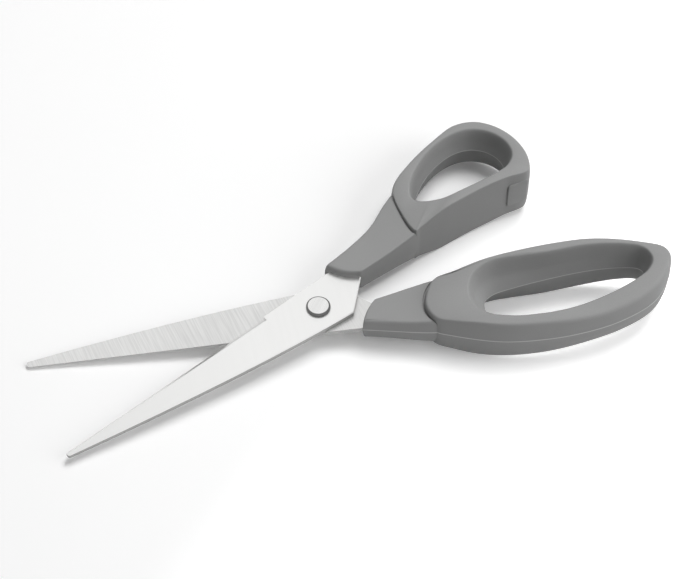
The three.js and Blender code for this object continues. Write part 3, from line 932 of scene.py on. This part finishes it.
@dataclass
class Rivet:
    """The turned pivot rivet."""

    shank: float = 2.5
    head: float = 4.0
    head_seat: float = 1.9
    head_height: float = 1.0
    bevel: float = 0.6
    crown: float = 0.15
    tail: float = 3.4
    tail_top: float = -2.45
    tail_height: float = 0.7
    tail_bevel: float = 0.35
    flat: float = 0.995
    sharp_deg: float = 38.0
    sides: int = 96
    levels: int = 6

    def profile(self) -> np.ndarray:
        """Draws the rivet's profile from the tail to the head.

        Returns:
            Rows of radius and height.
        """
        foot = self.tail_top - self.tail_height
        points = [(self.tail - self.tail_bevel, foot), (self.tail, foot + self.tail_bevel),
                  (self.tail, self.tail_top), (self.shank, self.tail_top), (self.shank, self.head_seat),
                  (self.head, self.head_seat)]
        rim = self.head_seat + self.head_height - self.bevel
        for k in range(self.levels + 1):
            angle = math.pi / 2 * k / self.levels
            radius = self.head - self.bevel * (1 - math.cos(angle))
            points.append((radius, rim + self.bevel * math.sin(angle)))
        for k in range(1, self.levels):
            share = 1 - k / self.levels
            points.append(((self.head - self.bevel) * share,
                           self.head_seat + self.head_height + self.crown * (1 - share ** 2)))
        return np.array(points)

    def build(self) -> Piece:
        """Turns the rivet's mesh.

        Returns:
            The rivet as an object.
        """
        profile = self.profile()
        angles = np.linspace(0, 2 * math.pi, self.sides, endpoint=False)
        rings = [np.column_stack([r * np.cos(angles), r * np.sin(angles), np.full(self.sides, z)])
                 for r, z in profile]
        verts = np.vstack([*rings, [[0, 0, profile[-1, 1] + self.crown / self.levels ** 2]]])
        faces = ring_faces(len(profile), self.sides, False)
        faces.append(tuple(range(self.sides))[::-1])
        top = (len(profile) - 1) * self.sides
        faces += [(top + i, top + (i + 1) % self.sides, len(verts) - 1) for i in range(self.sides)]
        piece = make_piece("rivet_turned", (verts + [0, 0, PIVOT_HEIGHT]) * MM, faces)
        piece.data.set_sharp_from_angle(angle=math.radians(self.sharp_deg))
        # Painted shade: facets that do not face straight up take the near-black side material, standing for
        # dark reflections.
        for polygon in piece.data.polygons:
            polygon.material_index = int(polygon.normal.z < self.flat)
        return piece

    def dress(self, piece: Piece, slot: str, materials: Sequence[Material]) -> None:
        """Gives the rivet its finishes and its place on the finger half.

        Args:
            piece: The rivet's object.
            slot: Not used.
            materials: The material of the crown, and the near-black material of the rest, which is painted
                shade.
        """
        for material in materials:
            piece.data.materials.append(material)
        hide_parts("pivot_rivet")
        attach(piece, Half.FINGER.body)


@dataclass
class StopPad:
    """The pad let into the thumb loop where the handles meet, between two points of the loop's wall."""

    loop: Loop
    wall_points: tuple[int, int] = (3, 4)
    rear_margin: float = 4.2
    length: float = 7.8
    height: float = 10.6
    corner: float = 1.2
    proud: float = 0.6
    sunk: float = 0.9
    bevel: float = 0.35
    bevel_power: float = 2.0
    bevel_steps: int = 5
    sharp_deg: float = 60.0
    arc: int = 8

    def build(self) -> Piece:
        """Stacks the pad's mesh out of the wall.

        Returns:
            The pad as an object.
        """
        corners = []
        for k, (sx, sy) in enumerate(((1, 1), (-1, 1), (-1, -1), (1, -1))):
            for step in range(self.arc + 1):
                angle = math.pi / 2 * (k + step / self.arc)
                corners.append((sx * (self.length / 2 - self.corner) + self.corner * math.cos(angle),
                                sy * (self.height / 2 - self.corner) + self.corner * math.sin(angle)))
        outline = np.array(corners)
        rings = [(outline, -self.sunk), (outline, self.proud - self.bevel)]
        for inward, height in edge_levels(self.bevel_power, self.bevel_steps)[1:]:
            rings.append((inset(outline, self.bevel * inward), self.proud - self.bevel * (1 - height)))
        start, end = (np.array(self.loop.at(*self.loop.wall[k])) for k in self.wall_points)
        along = (end - start) / np.linalg.norm(end - start)
        out = np.array([along[1], -along[0]])
        centre = end - along * self.rear_margin
        rows = []
        for points, depth in rings:
            flat = centre + points[:, :1] * along + depth * out
            rows.append(np.column_stack([flat, points[:, 1]]))
        count = len(outline)
        faces = ring_faces(len(rings), count, False)
        top = (len(rings) - 1) * count
        faces += [tuple(range(count))[::-1], tuple(range(top, top + count))]
        piece = make_piece("stop_pad_block", Half.THUMB.place(np.vstack(rows)), faces)
        piece.data.set_sharp_from_angle(angle=math.radians(self.sharp_deg))
        return piece

    def dress(self, piece: Piece, slot: str, material: Material) -> None:
        """Gives the pad its finish and its place on the half.

        Args:
            piece: The pad's object.
            slot: Not used.
            material: Its material.
        """
        piece.data.materials.append(material)
        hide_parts("stop_pad")
        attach(piece, Half.THUMB.body)


# Studio.

@dataclass(frozen=True)
class Softbox:
    """A soft square lamp, placed in metres as the photograph shows it, with its side and its watts."""

    name: str
    right: float
    away: float
    high: float
    size: float
    power: float


BACK_SOFTBOX = Softbox("back_softbox", right=0.30, away=0.30, high=1.10, size=0.65, power=9.6)
RIGHT_SOFTBOX = Softbox("right_softbox", right=1.00, away=-0.35, high=0.60, size=0.9, power=5.6)


@dataclass
class Studio:
    """The pale table, the soft light and the camera of the photograph.

    The table slopes so that the scissors lie on it. To the eye it glows more at the front and the right, a
    painted light that fades the cast shadows there.
    """

    floor_base: float = -0.00455
    floor_slope_x: float = -0.06687
    floor_slope_y: float = 0.02621
    floor_size: float = 6.0
    floor_tones: Pair = (0.97, 1.0)
    floor_cloud: float = 8.0
    floor_rough: float = 0.9
    floor_shine: float = 0.1
    # glow: painted light on the table, weakest at the back left and strongest at the front right.
    glow: Pair = (0.03, 0.42)
    glow_span: Pair = (0.01, 0.11)
    glow_towards: Triple = (1.0, -1.0, 0.0)
    bounce: float = 0.66
    ambient: float = 0.22
    elevation_deg: float = 52.0
    heading_deg: float = 13.17
    lens: float = 100.0
    sensor: float = 36.0
    nearest: float = 0.01
    pivot_pixel: Pair = (318.3, 307.35)
    distance: float = 0.6334
    image: Pair = (700.0, 579.0)
    lamps: tuple[Softbox, ...] = (BACK_SOFTBOX, RIGHT_SOFTBOX)
    axes: dict[str, Vector] = field(init=False)

    def __post_init__(self) -> None:
        """Works out which way is right, away and up in the photograph."""
        turn, tilt = math.radians(self.heading_deg), math.radians(self.elevation_deg)
        right = Vector((math.cos(turn), -math.sin(turn), 0))
        away = Vector((math.sin(turn), math.cos(turn), 0))
        high = Vector((0, 0, 1))
        self.axes = {
            "right": right,
            "away": away,
            "high": high,
            "up": away * math.sin(tilt) + high * math.cos(tilt),
            "ahead": away * math.cos(tilt) - high * math.sin(tilt),
        }

    def set_camera(self) -> None:
        """Stands the camera where the photograph was taken."""
        data = bpy.data.cameras.new("photo_camera")
        data.lens = self.lens
        data.sensor_width = self.sensor
        data.clip_start = self.nearest
        focal = self.image[0] * self.lens / self.sensor
        across = self.pivot_pixel[0] - self.image[0] / 2
        down = self.pivot_pixel[1] - self.image[1] / 2
        sideways = self.axes["right"] * across - self.axes["up"] * down
        ray = (sideways + self.axes["ahead"] * focal).normalized()
        target = Vector((0, 0, (PIVOT_HEIGHT + BLADE_THICKNESS) * MM))
        camera = bpy.data.objects.new("photo_camera", data)
        basis = Matrix((self.axes["right"], self.axes["up"], -self.axes["ahead"])).transposed()
        camera.matrix_world = Matrix.Translation(target - ray * self.distance) @ basis.to_4x4()
        bpy.context.scene.collection.objects.link(camera)
        bpy.context.scene.camera = camera

    def set_floor(self) -> None:
        """Lays the table under the points that the scissors rest on."""
        half = self.floor_size / 2
        verts = np.array([(x, y, self.floor_base + self.floor_slope_x * x + self.floor_slope_y * y)
                          for x, y in ((-half, -half), (half, -half), (half, half), (-half, half))])
        floor = make_piece("table_top", verts, [(0, 1, 2, 3)])
        material, graph = new_material("pale_table")
        place = graph.place()
        cloud = graph.noise(place, self.floor_cloud, SOFT_DETAIL)
        shader = graph.add("ShaderNodeBsdfPrincipled", {
            "Base Color": graph.blend(cloud, plain(self.floor_tones[0]), plain(self.floor_tones[1])),
            "Roughness": self.floor_rough,
            "Specular IOR Level": self.floor_shine,
        })
        dim = graph.add("ShaderNodeBsdfDiffuse", {"Color": plain(self.bounce)})
        # Painted light: the glow grows towards the front and the right and lightens the cast shadows there.
        across = {0: place, 1: self.glow_towards}
        towards = graph.add("ShaderNodeVectorMath", across, operation="DOT_PRODUCT").outputs["Value"]
        strength = graph.remap(towards, self.glow, self.glow_span)
        glow = graph.add("ShaderNodeEmission", {"Color": plain(1.0), "Strength": strength})
        path = graph.add("ShaderNodeLightPath").outputs
        seen = graph.math("MAXIMUM", path["Is Camera Ray"], path["Is Glossy Ray"])
        lit = graph.add("ShaderNodeAddShader", {0: shader.outputs["BSDF"], 1: glow.outputs["Emission"]})
        mixed = graph.add("ShaderNodeMixShader", {0: seen, 1: dim.outputs["BSDF"], 2: lit.outputs[0]})
        graph.add("ShaderNodeOutputMaterial", {"Surface": mixed.outputs[0]})
        floor.data.materials.append(material)

    def set_world(self) -> None:
        """Makes the surroundings white to the eye and in reflections, and dim as a light."""
        world = bpy.data.worlds.new("white_studio")
        world.use_nodes = True
        graph = Graph(world.node_tree)
        path = graph.add("ShaderNodeLightPath").outputs
        seen = graph.math("MAXIMUM", path["Is Camera Ray"], path["Is Glossy Ray"])
        seen = graph.math("MAXIMUM", seen, path["Is Transmission Ray"])
        strength = graph.remap(seen, (self.ambient, 1.0))
        back = graph.add("ShaderNodeBackground", {"Color": plain(1.0), "Strength": strength})
        graph.add("ShaderNodeOutputWorld", {"Surface": back.outputs[0]})
        bpy.context.scene.world = world

    def add_lamp(self, box: Softbox) -> None:
        """Hangs a soft square lamp that points at the scissors.

        Args:
            box: The lamp's place, size and power.
        """
        data = bpy.data.lights.new(box.name, "AREA")
        data.size = box.size
        data.energy = box.power
        lamp = bpy.data.objects.new(box.name, data)
        sideways = self.axes["right"] * box.right + self.axes["away"] * box.away
        lamp.location = sideways + self.axes["high"] * box.high
        lamp.visible_glossy = False
        lamp.rotation_euler = (-lamp.location).to_track_quat("-Z", "Y").to_euler()
        bpy.context.scene.collection.objects.link(lamp)

    def build(self) -> None:
        """Sets up the camera, the table and the light."""
        self.set_camera()
        self.set_floor()
        self.set_world()
        for box in self.lamps:
            self.add_lamp(box)
        bpy.context.scene.view_settings.view_transform = "Standard"


# Finishes and forms of this pair.

SOFT = PlasticFinish(
    name="soft_grey", slot="soft_plastic", dark=0.262, light=0.328, smooth=0.62, rough=0.74,
    grain=2400.0, depth=0.04, seam_highlight=0.35,
)
HARD = PlasticFinish(
    name="hard_grey", slot="hard_plastic", dark=0.262, light=0.318, smooth=0.52, rough=0.62,
    grain=3000.0, depth=0.02, seam_highlight=0.30,
)
# The tip tone of the polished face is painted shade, darker towards the blade's tip.
POLISHED = SteelFinish(
    name="satin_steel", slot="blade_steel", dark=0.85, light=0.875, smooth=0.28, rough=0.33,
    depth=0.0012, tip=0.77,
)
GROUND = SteelFinish(
    name="ground_steel", slot="blade_steel", dark=0.60, light=0.82, smooth=0.30, rough=0.46,
    depth=0.01, angle_deg=-12.0, coarse=2400.0,
)
# The tip tone of the bevels is painted shade, darker towards the blade's tip.
BEVELS = SteelFinish(
    name="bevel_steel", slot="blade_steel", dark=0.80, light=0.83, smooth=0.30, rough=0.34,
    depth=0.001, tip=0.74,
)
# Painted shade: the blade's side walls take a dark copy of the steel, standing for the shadowed table they
# reflect.
SHADED_WALLS = SteelFinish(
    name="shaded_wall_steel", slot="blade_steel", dark=0.30, light=0.38, smooth=0.30, rough=0.42, depth=0.004,
)
TURNED = SteelFinish(
    name="turned_steel", slot="rivet_steel", dark=0.74, light=0.86, smooth=0.18, rough=0.30,
    depth=0.003, angle_deg=35.0,
)
# Painted shade: a near-black copy of the turned steel for the rivet's side and bevel, standing for dark
# reflections there.
SHADED_TURNED_SIDE = SteelFinish(
    name="shaded_turned_side", slot="rivet_steel", dark=0.11, light=0.17, smooth=0.26, rough=0.38,
    depth=0.003, angle_deg=35.0,
)

THUMB_LOOP = Loop(
    half=Half.THUMB, front=41.9, side=0.6, length=53.3, width=32.7,
    ring_front=9.7, ring_rear=6.4, ring_facing=8.0, ring_outer=5.7,
    edge_front=0.8, edge_facing=0.4, edge_outer=(1.5, 1.5),
    draft_front=1.4, draft_facing=2.0, draft_outer=1.6, draft_run=6.0,
    facing=Side(front=7.4, half=10.5, rear=9.0, land_start=14.0, land_end=30.0, fall_end=53.3),
    outer=Side(front=7.2, half=8.4, rear=8.4, land_start=14.0, land_end=30.0, fall_end=53.3),
    wall_seam=False,
    wall=((0.006, 0.083), (0.055, 0.082), (0.45, 0.077), (0.71, 0.04), (0.88, 0.0), (0.97, 0.18),
          (1.0, 0.445), (0.97, 0.695), (0.885, 0.9), (0.745, 1.0), (0.56, 0.961), (0.3, 0.845),
          (0.095, 0.68), (0.02, 0.371)),
    hole=((0.05, 0.18), (0.145, 0.095), (0.387, 0.04), (0.683, 0.0), (0.87, 0.04), (0.968, 0.18),
          (1.0, 0.41), (0.962, 0.695), (0.86, 0.905), (0.7, 1.0), (0.468, 0.947), (0.226, 0.747),
          (0.054, 0.495), (0.0, 0.316)),
)
FINGER_LOOP = Loop(
    half=Half.FINGER, front=32.7, side=-2.2, length=84.7, width=30.7,
    ring_front=20.5, ring_rear=9.2, ring_facing=6.4, ring_outer=7.2,
    edge_front=1.5, edge_facing=1.5, edge_outer=(0.6, 3.4),
    draft_front=5.2, draft_facing=2.2, draft_outer=1.6, draft_run=28.0,
    facing=Side(front=7.6, half=11.8, rear=9.2, land_start=25.0, land_end=52.0, fall_end=84.7),
    outer=Side(front=6.6, half=8.2, rear=6.4, land_start=17.0, land_end=33.0, fall_end=60.0),
    wall_seam=True,
    wall=((0.0, 0.44), (0.019, 0.252), (0.066, 0.097), (0.157, 0.072), (0.346, 0.016), (0.547, 0.0),
          (0.736, 0.031), (0.889, 0.128), (0.983, 0.246), (1.0, 0.365), (0.979, 0.505), (0.893, 0.766),
          (0.735, 0.94), (0.56, 1.0), (0.405, 0.984), (0.255, 0.91), (0.086, 0.72), (0.025, 0.62)),
    hole=((0.0, 0.433), (0.018, 0.263), (0.078, 0.146), (0.215, 0.076), (0.415, 0.023), (0.615, 0.0),
          (0.76, 0.018), (0.887, 0.076), (0.978, 0.17), (1.0, 0.287), (0.97, 0.44), (0.833, 0.667),
          (0.633, 0.865), (0.43, 0.988), (0.27, 1.0), (0.142, 0.942), (0.055, 0.813), (0.011, 0.637)),
)
THUMB_NECK = Neck(
    loop=THUMB_LOOP, half_front=4.5, half_rear=8.6, edge_facing=0.5, nose=1.5, bow=1.4, wall_seam=False,
    facing=((18.8, 2.0), (27.0, 2.15), (35.2, 2.5), (43.6, 3.1), (47.5, 5.2)),
    outer=((10.9, 11.5), (22.2, 13.2), (32.1, 15.5), (41.0, 19.7), (49.0, 22.4)),
)
FINGER_NECK = Neck(
    loop=FINGER_LOOP, half_front=4.4, half_rear=6.6, edge_facing=1.1, nose=1.0, bow=0.8, wall_seam=True,
    facing=((18.5, 2.4), (25.0, 1.3), (31.5, 0.45), (38.3, 0.0), (43.0, 1.6)),
    outer=((12.3, 10.9), (21.0, 13.5), (28.5, 15.8), (35.0, 17.4), (41.0, 18.2)),
)


def build_handles() -> None:
    """Builds and dresses the loops, the necks and the stop pad."""
    grain = moulded_grain()
    soft, hard = SOFT.make(grain), HARD.make(grain)
    for loop, neck in ((THUMB_LOOP, THUMB_NECK), (FINGER_LOOP, FINGER_NECK)):
        ring = loop.build()
        loop.dress(ring, SOFT.slot, soft)
        LOG.info("built %s", ring.name)
        stem = neck.build()
        neck.dress(stem, HARD.slot, hard)
        LOG.info("built %s", stem.name)
    pad = StopPad(THUMB_LOOP)
    block = pad.build()
    pad.dress(block, SOFT.slot, soft)
    LOG.info("built %s", block.name)


def build_blades() -> None:
    """Builds and dresses the blades, the rivet and its washer."""
    lines = grind_lines()
    finishes = {Face.OUTER: POLISHED, Face.INNER: GROUND, Face.BEVEL: BEVELS, Face.WALL: SHADED_WALLS}
    steels = {face: finish.make(lines) for face, finish in finishes.items()}
    for half in Half:
        blade = Blade(half)
        piece = blade.build()
        blade.dress(piece, POLISHED.slot, steels)
        LOG.info("built %s", piece.name)
    turned = TURNED.make(lines)
    rivet = Rivet()
    piece = rivet.build()
    rivet.dress(piece, TURNED.slot, (turned, SHADED_TURNED_SIDE.make(lines)))
    LOG.info("built %s", piece.name)
    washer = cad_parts["rivet_washer"]
    washer.data.materials.clear()
    washer.data.materials.append(turned)
    LOG.info("dressed %s", washer.name)


def main() -> None:
    """Builds the studio and the scissors in order."""
    logging.basicConfig(level=logging.INFO)
    Studio().build()
    build_blades()
    build_handles()


if __name__ == "__main__":
    main()
